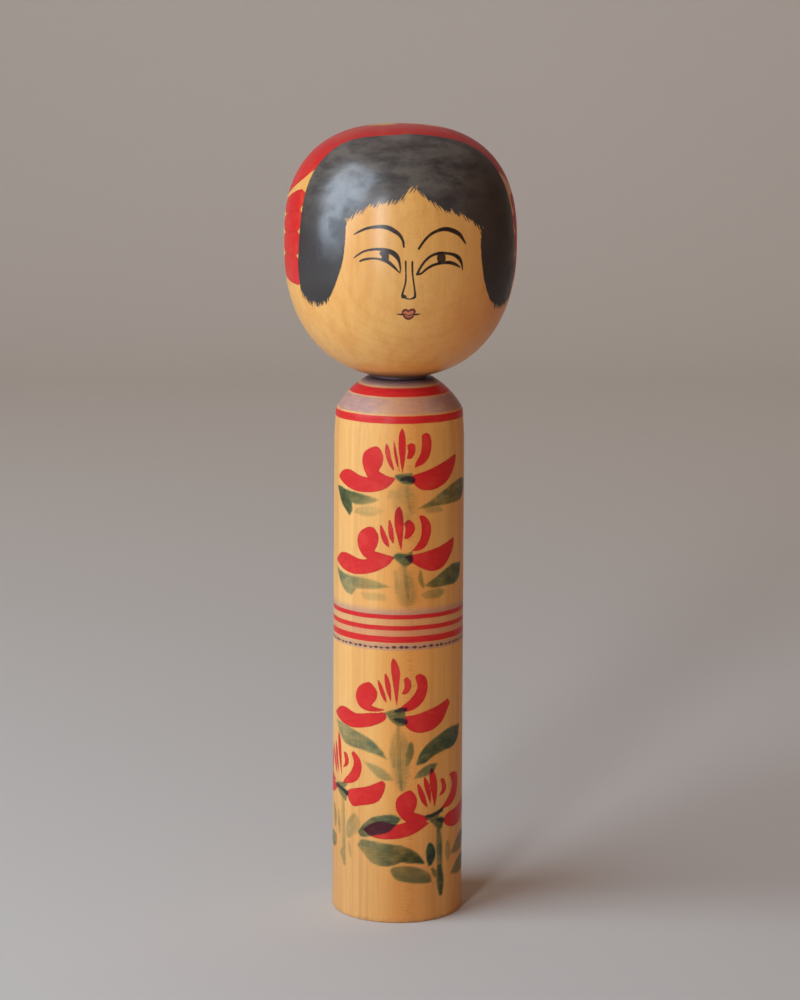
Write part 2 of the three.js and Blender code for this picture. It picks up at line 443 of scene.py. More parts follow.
# Each flower is painted from its cup: broad petals as shapes, thin ones as strokes of
# (around, up, width). A shape's runs are its smooth edges, with corners between them.
flowers = {
    "top": {
        "cup": (1.5, 207),
        "petals": [
            [
                [(-6, 208.4), (-14, 207.6), (-19, 208.1), (-25, 210), (-30.5, 209), (-34.8, 205.8)],
                [(-32, 203.9), (-25.5, 201.5), (-18.5, 200.5), (-10.5, 201.3), (-5, 203.6), (-1.4, 207.6)],
            ],
            [
                [(-5.5, 208.8), (-9.4, 210.8)],
                [
                    (-7.6, 214), (-7.3, 218), (-9.6, 221.6), (-13, 221.3), (-16.8, 218.6), (-17.7, 214.6),
                    (-16.2, 209.8), (-12.5, 206), (-6, 205.4), (-1.6, 208),
                ],
            ],
            [
                [(3.4, 216.6)],
                [(4, 219.6), (3.7, 222.9)],
                [(5.4, 223.6), (7.2, 223.1)],
                [(7.5, 220.8), (6.9, 218.2), (5.4, 216.5), (3.4, 216.6)],
            ],
            [
                [(7.7, 214.9), (9.8, 218.6), (10.5, 223.5), (10.4, 227)],
                [(12.4, 227.9), (14.6, 226.8), (15.4, 222.5), (14.2, 217.2), (11.3, 214), (7.1, 212.4)],
            ],
            [
                [(7.5, 209.4), (14, 211.2), (22.5, 214.1), (29.4, 216.4), (31.4, 216.2)],
                [
                    (30.2, 212), (27, 207.2), (22.5, 203.9), (16.2, 201.9), (10, 202.5), (6, 206.2),
                    (5.8, 208.6),
                ],
            ],
        ],
        "slips": [
            [
                (-5.7, 223, 0.9), (-5.4, 220.5, 2.2), (-4.6, 216.6, 2.2), (-3.2, 213, 1.5),
                (-2.4, 211.3, 0.5),
            ],
            [(-2.4, 225, 0.4), (-1.9, 220.5, 1.2), (-1.1, 216, 1.3), (0.1, 210.8, 0.3)],
            [(1.3, 230.2, 0.3), (1.3, 227.4, 2.7), (1.4, 222.5, 3.4), (1.5, 217, 2.4), (1.6, 210, 0.4)],
        ],
        "calyx": [
            {"ink": 0.75, "soft": 1, "mark": [
                [(-1, 209.4), (3, 209.8), (6, 210.2)],
                [(6.2, 207), (6.2, 204.8)],
                [(2.5, 205.2), (-0.6, 207), (-2, 208.4)],
            ]},
            {"ink": 1.65, "soft": 1, "mark": [(1.2, 207.2, 1.4), (4, 207.6, 2.6), (6, 206.8, 2.6)]},
        ],
    },
    "second": {
        "cup": (1.6, 171.6),
        "petals": [
            [
                [(-5, 172.2), (-13.5, 170.2), (-19.4, 169.9), (-26.2, 171.4), (-32, 170.8), (-36.9, 167)],
                [(-33, 164.7), (-27, 162.9), (-20, 162.5), (-11.5, 164.4), (-5, 167.8), (-1.8, 171.6)],
            ],
            [
                [(-5, 172.7), (-11.2, 174.2)],
                [
                    (-9.6, 177.5), (-9.4, 181.6), (-11.8, 184.9), (-15.2, 184.7), (-19.2, 181.8),
                    (-20.3, 177.6), (-18.4, 173), (-14, 169.8), (-7, 168.6), (-1.8, 171.8),
                ],
            ],
            [
                [(2.5, 180.4)],
                [(3, 184.4), (2.5, 187.4)],
                [(4.6, 188.9), (7, 187.2)],
                [(7.5, 184.4), (6.2, 181.8), (4, 180.1), (2.5, 180.4)],
            ],
            [
                [(8.1, 177), (10.2, 180.6), (10.5, 186), (9.2, 190.6)],
                [(11.8, 190.3), (14.6, 187.4), (15.4, 183), (13.4, 177.2), (10.4, 174.9), (5.8, 174.2)],
            ],
            [
                [(7.5, 173), (14, 174.2), (21.2, 175.9), (28.7, 178.4), (29.9, 177.8)],
                [
                    (29.4, 174.4), (26.6, 169.9), (21.8, 165.7), (15.6, 164.7), (9.6, 167), (4.8, 170.4),
                    (4.6, 172.6),
                ],
            ],
        ],
        "slips": [
            [(-8.2, 185.8, 1), (-7.3, 182.6, 2.4), (-5.9, 179, 2.6), (-4.6, 176.6, 0.8)],
            [(-4.2, 188.3, 1), (-3.7, 184.6, 2.3), (-3.2, 181, 2.2), (-2.4, 178.4, 0.8)],
            [(0.1, 194.4, 1.2), (0, 191.8, 3.5), (0.1, 187, 4.1), (0.5, 182.6, 3), (1.1, 174.9, 0.5)],
        ],
        "calyx": [
            {"ink": 0.72, "soft": 1, "mark": [
                [(-0.5, 173.6), (3.6, 173.4), (6.2, 174.6)],
                [(6.4, 170.4), (4.8, 168)],
                [(2.6, 167.5), (0.2, 169.2), (-2.8, 172)],
            ]},
            {"ink": 1.5, "soft": 0.9, "mark": [(3.6, 171.8, 1.4), (5.2, 171.2, 2.4), (5.4, 169.6, 1.4)]},
        ],
    },
    "third": {
        "cup": (-0.6, 99.2),
        "petals": [
            [
                [(-10, 99.3), (-15, 98.6), (-21, 97.8), (-27, 99.4), (-32, 98.8), (-37.6, 95)],
                [(-32, 92.3), (-25, 90.8), (-18, 91.3), (-10.6, 93.4), (-5.4, 96.6), (-5.8, 99.8)],
            ],
            [
                [(-7.5, 101.3), (-12.3, 102.4)],
                [
                    (-10, 105.6), (-9.6, 109.2), (-12.6, 113), (-15.4, 112.9), (-19.4, 110.2),
                    (-20.8, 105.4), (-18.4, 101.2), (-13.6, 99.7), (-8, 100.2), (-5, 101.3),
                ],
            ],
            [
                [(1.6, 108.6)],
                [(3, 111.6), (2.6, 115.4)],
                [(4.2, 116.4), (5.8, 114.6)],
                [(6.2, 111.8), (4.8, 109.2), (3.2, 108.3), (1.6, 108.6)],
            ],
            [
                [(3, 103.7), (6.6, 107), (9, 111.4), (8.1, 115.2), (8, 117)],
                [
                    (10.4, 117.5), (13.2, 115.6), (14.1, 111), (12.6, 105.8), (9, 102), (4, 100.2),
                    (0.2, 101.5),
                ],
            ],
            [
                [(7.5, 98.5), (14, 100.2), (20.6, 102.1), (26, 104.2)],
                [(27.5, 101.7)],
                [
                    (25.4, 98.4), (22.4, 94.2), (17.4, 91), (11.2, 89.9), (6.2, 91.2), (3.4, 94),
                    (3.4, 98.2),
                ],
            ],
        ],
        "slips": [
            [(-9, 114.4, 0.8), (-8.1, 111.9, 1.8), (-6.7, 108, 2), (-5.3, 104.6, 0.7)],
            [(-5.7, 117.6, 0.9), (-5, 114.8, 2.2), (-4.2, 110.6, 2.3), (-3.2, 105.3, 0.5)],
            [(-2.3, 125.2, 0.4), (-1.8, 122.6, 2.8), (-1, 118.4, 4), (-0.8, 113, 2.8), (-0.4, 103, 0.4)],
        ],
        "calyx": [
            {"ink": 0.78, "soft": 1, "mark": [
                [(-2.5, 101), (3.2, 101.4)],
                [(3.6, 97), (3.5, 93.7)],
                [(0.4, 93.6), (-3, 96), (-6, 99.6)],
            ]},
            {"ink": 1.6, "soft": 0.8, "mark": [(-1.2, 100.5, 1), (1.2, 101, 1.8), (3.6, 101.4, 1.2)]},
            {"ink": 1.6, "soft": 0.8, "mark": [(-1.4, 96.8, 0.8), (1.2, 96.3, 2.4), (3.4, 95.4, 2.2)]},
        ],
    },
    "left": {
        "cup": (-31, 60),
        "petals": [
            [
                [(-23, 61.7), (-14.4, 64.2), (-6.9, 67.8)],
                [(-5.3, 66.2)],
                [(-6.2, 62), (-9.4, 57.2), (-17.5, 54.6), (-22.5, 53.7), (-25.9, 57.5), (-26.2, 60)],
            ],
            [
                [(-28.1, 65.2), (-23.6, 69.8), (-21.8, 74.4), (-23.4, 78.5)],
                [(-21.6, 79.5), (-18.2, 76.4), (-17.2, 72.2), (-19, 67), (-23, 64.4), (-29.6, 62.8)],
            ],
            [
                [(-29.8, 69.9)],
                [(-27.9, 73.4), (-29.1, 77.9)],
                [(-26.6, 77.9), (-25, 75.2)],
                [(-25.6, 72.4), (-29.8, 69.9)],
            ],
            [
                [(-40, 62), (-48, 63), (-55, 62), (-60, 58.6)],
                [(-52, 55.6), (-44, 55.4), (-38, 57.2), (-34, 60.4)],
            ],
            [
                [(-38, 63.4), (-43, 66)],
                [
                    (-41, 70), (-42, 75.4), (-46.5, 77.6), (-51, 75), (-52.6, 70), (-50, 65.2), (-43, 62.2),
                    (-35, 62.6),
                ],
            ],
        ],
        "slips": [
            [(-33.6, 86.4, 0.5), (-33, 83, 2.6), (-32.3, 77, 2.9), (-31.5, 72, 1.7), (-30.6, 66.8, 0.4)],
            [(-36.9, 81, 0.8), (-36.2, 77.6, 2.4), (-34.9, 72, 2), (-33.4, 67.6, 0.6)],
            [(-40.4, 79, 0.8), (-39.3, 75.4, 2.4), (-37.3, 70.6, 2.2), (-35.4, 66.6, 0.8)],
        ],
        "calyx": [
            {"ink": 0.7, "soft": 0.9, "mark": [
                [(-34.7, 62.4), (-29.4, 63.2), (-25.4, 63.6)],
                [(-28.4, 60.8)],
                [(-26.4, 58.6)],
                [(-26.8, 55.2), (-30, 56), (-34, 58.6), (-37, 61)],
            ]},
            {"ink": 1.55, "soft": 0.8, "mark": [
                (-36, 61, 0.8), (-32.6, 60.5, 2.2), (-29, 59.8, 1.6), (-26.6, 58.8, 2.2),
            ]},
        ],
    },
    "right": {
        "cup": (18, 48.6),
        "petals": [
            [
                [(9.4, 48.4), (3.7, 48), (-1, 47.2), (-7, 48.4), (-11.5, 47.2), (-16.6, 43.7)],
                [(-12.5, 40.9), (-7.5, 40), (-1, 40.2), (5, 41.4), (10.4, 43.7), (15.6, 47)],
            ],
            [
                [(12.5, 50.8), (7.6, 52.6)],
                [
                    (9, 56), (8.9, 59.6), (6.6, 62.9), (3.6, 62.6), (0, 59.6), (-0.7, 55.4), (1.4, 50.8),
                    (5, 48), (11, 47), (15.4, 48.6),
                ],
            ],
            [
                [(20.3, 58.4)],
                [(22.4, 62.2), (21.2, 66.9)],
                [(23.6, 66.6), (25.4, 63)],
                [(24.4, 60.2), (20.3, 58.4)],
            ],
            [
                [(26.2, 56.8), (29.4, 61.8), (28.6, 66), (26.9, 67.8)],
                [(30.4, 68.4), (34.2, 66.8), (35.2, 62.6), (33.4, 56.8), (28.6, 53.1), (21, 52.2)],
            ],
            [
                [(26.2, 49.7), (33, 50.7), (40, 52.4), (46.4, 55)],
                [(46.8, 50), (43, 45.6), (37, 43), (30.6, 42.2), (25.4, 44), (23.1, 46.8)],
            ],
        ],
        "slips": [
            [(9.7, 65.4, 1.2), (10.9, 62, 2.5), (12.4, 58, 2.5), (14, 54.7, 0.8)],
            [(12.8, 68.5, 1), (13.8, 65, 2.6), (14.9, 61, 2.2), (15.9, 56.3, 0.6)],
            [(16.2, 72.9, 0.5), (16.8, 69.4, 3.2), (17.6, 65, 4), (18.1, 60, 2.8), (18.1, 54.4, 0.6)],
        ],
        "calyx": [
            {"ink": 0.75, "soft": 0.8, "mark": [
                [(16.9, 51.2), (22.6, 52.4)],
                [(20.2, 49.2)],
                [(23.2, 48.4)],
                [(23.2, 45.4), (22.4, 43)],
                [(19.6, 43.8), (16.8, 46.6), (13.6, 50)],
            ]},
            {"ink": 1.5, "soft": 0.8, "mark": [(13.6, 50.2, 0.9), (17.6, 50.4, 1.6), (22.6, 52, 1.4)]},
            {"ink": 1.5, "soft": 0.8, "mark": [(19, 48.2, 0.8), (22.6, 46.9, 2.4)]},
        ],
    },
}

fanRadius = 14.0  # mm from a cup, where the brush's streaks are as wide as their pattern says

# Leaves and stems in green: ink is how heavy the dye lies, from the mark's left end to its right,
# and soft is how far its edge blurs, in mm.
greens = [
    # thin washes that the stems stand in
    {"ink": (0.2, 0.26), "soft": 4, "mark": [(2, 203, 6), (2.6, 197, 11), (3, 190, 7)]},
    {"ink": (0.22, 0.3), "soft": 4, "mark": [(2, 167, 3), (3, 160, 9), (4, 153, 9)]},
    {"ink": (0.24, 0.3), "soft": 3.5, "mark": [(0.4, 92, 2), (1, 84, 9), (1.4, 72, 8), (2, 65, 4)]},
    # under the top flower
    {"ink": (1.25, 1), "soft": 0.8, "mark": [
        [(-33.5, 201.4), (-28, 200.4), (-23.6, 200)],
        [(-24, 196), (-23.4, 191.6)],
        [(-25.2, 188.9)],
        [(-28.6, 191.6), (-32.4, 195), (-35.7, 201)],
    ]},
    {"ink": (1, 0.3), "soft": 1.2, "mark": [
        [(-18, 199.6), (-13, 198.8), (-9, 197.6)],
        [(-13, 195.8), (-19, 194.7), (-24.6, 195.2)],
        [(-24.6, 200.2)],
    ]},
    {"ink": (0.3, 0.14), "soft": 1.4, "mark": [
        [(-20, 193.4), (-12, 194.6), (-6, 192.6)],
        [(-14, 189.6), (-22.6, 190.6)],
    ]},
    {"ink": (0.16, 0.26), "soft": 1.6, "mark": [[(-4, 202.4), (1, 201.6)], [(0.6, 198), (-5.6, 198.4)]]},
    {"ink": (0.5, 0.95), "soft": 1.1, "mark": [
        [(15, 197), (21, 200.4), (28, 203.2), (36, 204.8), (43.6, 203.4)],
        [(41, 198), (35, 195), (26, 194.6), (17, 194.2), (8.4, 193.6)],
    ]},
    {"ink": (0.22, 0.3), "soft": 1.5, "mark": [[(12, 194), (20, 194.4)], [(22, 191.6), (13, 191.4)]]},
    {"ink": (0.3, 0.5), "soft": 0.9, "mark": [(3.6, 203.6, 1.4), (4, 198, 2.2), (5.2, 192.6, 1)]},
    # under the second
    {"ink": (0.66, 0.36), "soft": 1.1, "mark": [
        [(-31, 162), (-24, 161.4), (-17, 161.4), (-10, 160.2), (-3.6, 158)],
        [(-12, 156.6), (-20.6, 156)],
        [(-23.6, 152.4)],
        [(-28.4, 153.8), (-32.8, 157.6), (-36.4, 163.6)],
    ]},
    {"ink": (0.35, 0.5), "soft": 1.2, "mark": [(-22, 158.6, 2), (-17, 158.9, 3.4), (-12, 158.6, 2)]},
    {"ink": (0.2, 0.16), "soft": 1.5, "mark": [[(-18, 154.6), (-6, 154.8)], [(-6, 151.6), (-16, 151.4)]]},
    {"ink": (0.6, 1), "soft": 1, "mark": [
        [(17.6, 161.4), (23, 164.2), (29, 166.4), (36.8, 165.6)],
        [(35.4, 160), (31.6, 157.4), (24, 157), (17, 157), (12, 158.4)],
    ]},
    {"ink": (0.3, 0.42), "soft": 1.4, "mark": [
        [(11, 154.8), (18, 156.4), (24, 155)],
        [(20, 152), (12, 152.2)],
    ]},
    {"ink": (0.42, 0.5), "soft": 0.9, "mark": [(2.6, 167.6, 1.6), (3.4, 161, 2.2), (4.6, 152.4, 1.2)]},
    {"ink": (0.42, 0.6), "soft": 0.9, "mark": [(10.2, 165.2, 0.8), (10.2, 161.4, 2.4), (11.6, 157.8, 1)]},
    {"ink": (0.22, 0.26), "soft": 1.4, "mark": [(-1.6, 165, 1.6), (-0.4, 156, 2.6)]},
    # under the third
    {"ink": (0.42, 0.7), "soft": 1, "mark": [
        [(-29, 91.4), (-22.4, 90), (-15, 87.6), (-9.6, 84.2), (-4.6, 77.6)],
        [(-9.6, 79.6), (-18, 81.2), (-26, 82), (-31, 84.6), (-36.6, 92)],
    ]},
    {"ink": (0.5, 0.62), "soft": 1.2, "mark": [(-16, 86, 2), (-11.6, 83.6, 3.2), (-7, 80.4, 1.6)]},
    {"ink": (0.3, 0.45), "soft": 1.3, "mark": [
        [(-12, 75.2), (-6, 72.8), (-1.4, 68)],
        [(-7, 68), (-12, 71.6), (-16.6, 76)],
    ]},
    {"ink": (0.4, 0.5), "soft": 0.8, "mark": [
        (0.4, 93, 1.6), (0.4, 84, 2.4), (1, 70, 2.2), (2, 63.6, 1.4),
    ]},
    {"ink": (0.36, 0.42), "soft": 1, "mark": [(-2.2, 86, 1.6), (-2.2, 80, 3), (-1.6, 74.4, 1.4)]},
    {"ink": (0.5, 0.62), "soft": 1, "mark": [(6.2, 85, 2), (5.6, 80.4, 3.8), (4.4, 75.2, 1.4)]},
    {"ink": (0.8, 1), "soft": 0.9, "mark": [
        [(10, 79.4), (13.6, 84), (19, 87.2), (27, 89.9), (36.8, 89.8)],
        [(35.2, 84.4), (30.4, 80.8), (24, 80), (17.6, 78.4), (13, 75.6), (8.6, 74.8)],
    ]},
    {"ink": (0.5, 0.7), "soft": 1, "mark": [
        [(10, 72), (14.6, 74.6), (19.6, 74.6)],
        [(17.4, 71), (13, 69.2), (7.4, 68.4)],
    ]},
    # round the left flower
    {"ink": (0.3, 0.36), "soft": 1, "mark": [(-29.4, 56, 2.2), (-29, 44, 2.8), (-28.2, 25, 2.4)]},
    {"ink": (0.42, 0.5), "soft": 1.1, "mark": [(-39, 50.4, 2), (-38, 45.6, 4.4), (-37.4, 41, 2)]},
    {"ink": (0.36, 0.36), "soft": 1.1, "mark": [(-33.6, 48.6, 1.6), (-33, 44, 3), (-32.2, 39, 1.6)]},
    {"ink": (0.34, 0.3), "soft": 1.2, "mark": [(-21.6, 48.6, 3), (-23.2, 43.6, 6.4), (-25, 39, 3)]},
    {"ink": (0.56, 0.5), "soft": 1.2, "mark": [
        [(-40, 37.6), (-35.6, 36.6)],
        [(-36, 32), (-40, 30), (-46.6, 31.4)],
        [(-45, 36.6)],
    ]},
    {"ink": (0.42, 0.34), "soft": 1, "mark": [
        [(-29.6, 32), (-27.4, 31.4)],
        [(-27.4, 25.4)],
        [(-30, 27), (-32, 29.4)],
    ]},
    {"ink": (0.28, 0.28), "soft": 0.9, "mark": [(-24.8, 36, 1.2), (-24.2, 32.6, 2.2), (-23.6, 29, 1)]},
    {"ink": (0.26, 0.26), "soft": 1, "mark": [(-21, 50.2, 1.2), (-19, 46, 1.8), (-20.6, 41, 1.2)]},
    # round the right flower
    {"ink": (0.72, 0.9), "soft": 0.7, "mark": [
        [(-16, 46.2), (-12, 49.6), (-7, 51.2), (-2, 51.8), (1.8, 50)],
        [(-0.8, 46.6), (-4, 43.6), (-10, 41.6), (-16.6, 39.9), (-19.4, 41.8)],
    ]},
    {"ink": (0.45, 1.05), "soft": 0.8, "mark": [
        [(-16.9, 38.8), (-11.9, 38.6), (-4, 37.8), (3, 36.8), (9.4, 33), (13.2, 27.8)],
        [(8, 28.4), (2, 29.2)],
        [(-2, 27.6), (-7, 27.1), (-12, 28.4), (-15.4, 31.6), (-19.6, 35.6)],
    ]},
    {"ink": (0.3, 0.6), "soft": 1, "mark": [(-14, 35.6, 3), (-2, 34, 4), (6, 31.6, 4)]},
    {"ink": (0.62, 0.66), "soft": 0.9, "mark": [
        [(-1.6, 26.8), (3.8, 27.3), (10, 26), (15.6, 22.6), (16.8, 18.4)],
        [(11, 18.6), (4, 19.6), (-0.6, 21.2), (-3.2, 25)],
    ]},
    {"ink": (1.1, 1.1), "soft": 0.7, "mark": [
        (15.6, 36.6, 1.8), (16, 34, 4.4), (16.3, 30.6, 4.6), (15.8, 27.2, 1.8),
    ]},
    {"ink": (0.6, 0.66), "soft": 0.9, "mark": [(17, 24.6, 1.4), (18.4, 22.4, 2.6), (19, 21, 1.6)]},
    {"ink": (0.62, 0.72), "soft": 1.2, "mark": [
        (20.4, 43.8, 2.2), (20.9, 36, 3.4), (21.1, 27, 3.2), (21.2, 21, 3.2),
    ]},
    {"ink": (0.92, 0.92), "soft": 1.1, "mark": [(21.2, 25, 2.6), (21.7, 18, 4.2), (22, 12, 2)]},
    {"ink": (0.34, 0.36), "soft": 1.2, "mark": [(26.4, 35.6, 2), (26.6, 31.4, 4), (26.6, 27.4, 1.6)]},
    {"ink": (0.5, 0.8), "soft": 1.3, "mark": [
        [(33, 34.4), (38, 37.4), (46.6, 38.4)],
        [(46, 33), (38, 29), (28.6, 29.6)],
    ]},
    {"ink": (0.6, 0.75), "soft": 1.3, "mark": [
        [(33, 24.2), (40, 26.6), (47, 26)],
        [(44, 20), (36, 18.4), (28.6, 20)],
    ]},
]


def paintBody(body):
    places = meshPlaces(body)
    around = np.arctan2(places[:, 0], -places[:, 1]) * girthRadius
    spots = np.c_[around, places[:, 2]]
    outside = np.hypot(places[:, 0], places[:, 1]) > bodyTurning["paintedBeyond"]
    outside &= places[:, 2] > bodyTurning["paintedAbove"]
    petals = np.full(len(spots), farAway)
    fan = np.zeros(len(spots))
    reach = np.zeros(len(spots))
    leaves = np.zeros(len(spots))
    for flower in flowers.values():
        # each place takes its brush's way from the cup of the nearest flower
        found = marksDistance(flower["petals"] + flower["slips"], spots)
        nearer = found < petals
        away = spots - np.array(flower["cup"])
        petals[nearer] = found[nearer]
        fan[nearer] = (np.arctan2(away[:, 1], away[:, 0]) * fanRadius)[nearer]
        reach[nearer] = np.hypot(*away.T)[nearer]
        for mark in flower["calyx"]:
            leaves = np.maximum(leaves, mark["ink"] * inkIn(mark, spots))
    for leaf in greens:
        mark = leaf["mark"]
        points = mark if isStroke(mark) else [point for run in mark for point in run]
        across = np.array([point[0] for point in points])
        share = (spots[:, 0] - across.min()) / np.ptp(across).clip(1)
        ink = leaf["ink"][0] + (leaf["ink"][1] - leaf["ink"][0]) * share.clip(0, 1)
        leaves = np.maximum(leaves, ink * inkIn(leaf, spots))
    keepValue(body, "petalEdge", np.where(outside, petals, farAway))
    keepValue(body, "leafInk", np.where(outside, leaves, 0))
    keepValue(body, "fanAcross", fan)
    keepValue(body, "fanAlong", reach)


def inkIn(mark, spots):
    # 1 well inside a mark and 0 outside it, eased over its soft edge
    share = (0.5 - markDistance(mark["mark"], spots) / mark["soft"]).clip(0, 1)
    return share * share * (3 - 2 * share)


headTurning = {
    "crownHeight": 53.2,
    "chinHeight": 60.6,
    "crownSquareness": 2.54,
    "chinSquareness": 2.27,
    "collarRadius": 12.5,
    "neckRadius": 9.5,
    "neckLength": 6.2,
    "beadRadius": 10.9,
    "beadSwell": 1.4,
    "beadLength": 5.0,
    "tailTaper": 2.2,
    "runningGap": 0.3,
    "faceLow": 279.0,  # the face is between these heights
    "faceHigh": 325.5,
    "faceSpacing": 0.4,  # mm between the outline's points
    "crownSpacing": 1.0,
    "chinSpacing": 1.6,
    "faceFrom": -24,  # degrees
    "faceTo": 33,
    "hairFrom": -88,
    "hairTo": 100,
    "faceStep": 0.4,
    "hairStep": 0.85,
    "backStep": 2.2,
}


def headOutline():
    t = headTurning
    foot = bodyTop + t["runningGap"]
    equator = headTop - t["crownHeight"]

    def arc(angles, depth, squareness, sign):
        # a quarter of the ball's outline, above the equator or below it
        radius = headRadius * np.cos(angles) ** (2 / squareness)
        height = equator + sign * depth * (1 - (radius / headRadius) ** squareness) ** (1 / squareness)
        return np.c_[radius, height]

    fine = np.linspace(0, math.pi / 2, 4000)
    chin = arc(fine[::-1], t["chinHeight"], t["chinSquareness"], -1)
    crown = arc(fine, t["crownHeight"], t["crownSquareness"], 1)
    ball = np.vstack([chin, crown[1:]])
    ball = ball[(ball[:, 0] > t["collarRadius"]) | (ball[:, 1] > equator)]
    length = np.r_[0, np.cumsum(np.hypot(*np.diff(ball, axis=0).T))]
    low, high = (length[np.abs(ball[:, 1] - t[name]).argmin()] for name in ("faceLow", "faceHigh"))
    marks = np.r_[
        np.linspace(0, low, round(low / t["chinSpacing"]), endpoint=False),
        np.linspace(low, high, round((high - low) / t["faceSpacing"]), endpoint=False),
        np.linspace(high, length[-1], round((length[-1] - high) / t["crownSpacing"]) + 1),
    ]
    surface = np.c_[np.interp(marks, length, ball[:, 0]), np.interp(marks, length, ball[:, 1])]
    surface[-1] = (0.0, headTop)
    neck = (t["neckRadius"], foot - t["neckLength"])
    bead = (t["beadRadius"], neck[1] - t["beadSwell"])
    beadEnd = (t["beadRadius"], neck[1] - t["beadLength"])
    tail = (t["beadRadius"] - t["tailTaper"], plugEnd)
    return [
        (0.0, plugEnd),
        *stretch((0.0, plugEnd), tail, 3.0),
        *stretch(tail, beadEnd, 2.0),
        bead,
        neck,
        *stretch(neck, (t["neckRadius"], foot), 3.0),
        (t["collarRadius"], foot),
        *[tuple(p) for p in surface],
    ]


def headSweeps():
    t = headTurning
    stops = [t["hairTo"] - 360, t["hairFrom"], t["faceFrom"], t["faceTo"], t["hairTo"]]
    steps = [t["backStep"], t["hairStep"], t["faceStep"], t["hairStep"]]
    turns = zip(stops, stops[1:], steps)
    return [(stops[0], 0), *[(end, round((end - start) / step)) for start, end, step in turns]]


# A place on the face is (around, up): around is in mm along the head's girth from the front. Hair and
# ribbon are in mm over the surface from the middle of the face, which looks a little to the right.
facing = {
    "turn": 4.5,  # degrees
    "middle": 306.0,
    "frontTo": 118,  # degrees from the middle of the face; past this only the crown's paint reaches
}

faceLines = {
    "leftBrow": [
        (-20.8, 318.3, 0.4), (-18.1, 319.8, 1), (-14.2, 321.4, 1.2), (-9, 322.1, 1.6), (-5.4, 321.7, 2),
        (-2.2, 320.1, 1.9), (-0.2, 318.5, 1.5), (1.2, 316, 1.1), (1.6, 313.5, 0.9),
    ],
    "rightBrow": [
        (8.1, 312.7, 1), (9.8, 315.2, 1.1), (12.2, 317.9, 1.2), (14.9, 319.7, 1.3), (18.8, 320.9, 1.7),
        (22, 320.7, 2), (25.2, 319.5, 2.1), (27.4, 318, 1.7), (29.3, 315.4, 1), (30.1, 314.2, 0.6),
    ],
    "leftUpperLid": [
        (-20.8, 308.1, 0.4), (-18.9, 309.5, 0.8), (-15.6, 311.4, 0.9), (-11.2, 312.3, 1.1),
        (-7, 312.2, 1.6), (-3.6, 311.1, 2.2), (-1.5, 309.4, 2.1), (-0.4, 307.2, 1.2), (0.1, 304.4, 0.8),
        (0, 302.1, 0.4),
    ],
    "leftLowerLid": [
        (-17.8, 306.9, 0.8), (-15.6, 307.8, 1.1), (-12, 308.3, 0.9), (-8.6, 308, 1.1), (-5.4, 307, 1.6),
        (-2.9, 305, 1.3), (-1.3, 303.3, 0.8), (-0.1, 302.1, 0.4),
    ],
    "rightUpperLid": [
        (7.5, 301.6, 1.2), (8.6, 304, 1.1), (10.7, 307.1, 1.1), (13.6, 309.5, 1.2), (17.2, 310.6, 1.3),
        (21, 310.4, 1.2), (24.4, 309.6, 1.6), (26.8, 308, 1.8), (28.2, 305.6, 1.1), (28.7, 302.9, 0.6),
    ],
    "rightLowerLid": [
        (7.8, 301.6, 1), (9.4, 302, 0.9), (11.8, 304, 1.1), (15, 305.6, 1.2), (19, 306.4, 1.4),
        (22.6, 306.3, 1.6), (25.4, 305.3, 1.3), (27.4, 304.1, 0.6),
    ],
    "noseLeft": [
        (2.4, 307.2, 0.9), (2.5, 303, 0.7), (2.5, 298.6, 0.8), (1.8, 295.4, 0.8), (1.1, 292.8, 1),
        (1.2, 291.6, 1.2), (2.2, 291.3, 0.9), (3.7, 290.7, 0.6), (5.2, 290.8, 0.7), (6.6, 291.5, 1.2),
        (6.8, 292.8, 1), (6.3, 296.2, 0.8), (5.6, 300.6, 0.8), (5.3, 304.6, 0.9), (5.3, 307, 0.9),
    ],
    "nostril": [(1.6, 292.4, 0.5), (2.3, 291.9, 1.1), (2.8, 291.3, 0.5)],
    "mouth": [
        (-1.6, 283.9, 0.3), (0.4, 283.7, 0.8), (2.8, 283.6, 0.5), (4.1, 283.1, 0.5), (5.6, 283.6, 0.5),
        (7.8, 283.7, 0.8), (9.8, 283.9, 0.3),
    ],
}

pupils = [
    [
        [(-9.1, 310.7), (-8.2, 311.9)],
        [(-5, 311.9)],
        [(-4.8, 309.8), (-4.9, 307.4)],
        [(-8, 307.6)],
        [(-8.1, 309.2), (-8.9, 310), (-9.1, 310.7)],
    ],
    [
        [(16.5, 310)],
        [(20, 310)],
        [(20.3, 308.2), (19.8, 306.6)],
        [(17, 306.4)],
        [(16.2, 308.2), (16.5, 310)],
    ],
]

lips = [
    [
        (1, 284, 0.6), (1.6, 285.3, 1), (2.7, 285.8, 1), (3.9, 285.3, 0.9), (5, 285.8, 1),
        (6.4, 285.8, 1.1), (7, 284.9, 1), (6.5, 284, 0.6),
    ],
    [(1.7, 283.2, 0.7), (2.6, 282.3, 1), (4.1, 281.7, 1.1), (5.7, 282.3, 1), (6.5, 283.2, 0.7)],
]

lipBody = [
    [(1.5, 285.3), (2.7, 285.9), (3.9, 285.4), (5.1, 285.9), (6.8, 285.3)],
    [(6.8, 284), (5.7, 282.2), (4.1, 281.7), (2.6, 282.3), (1.2, 284)],
]

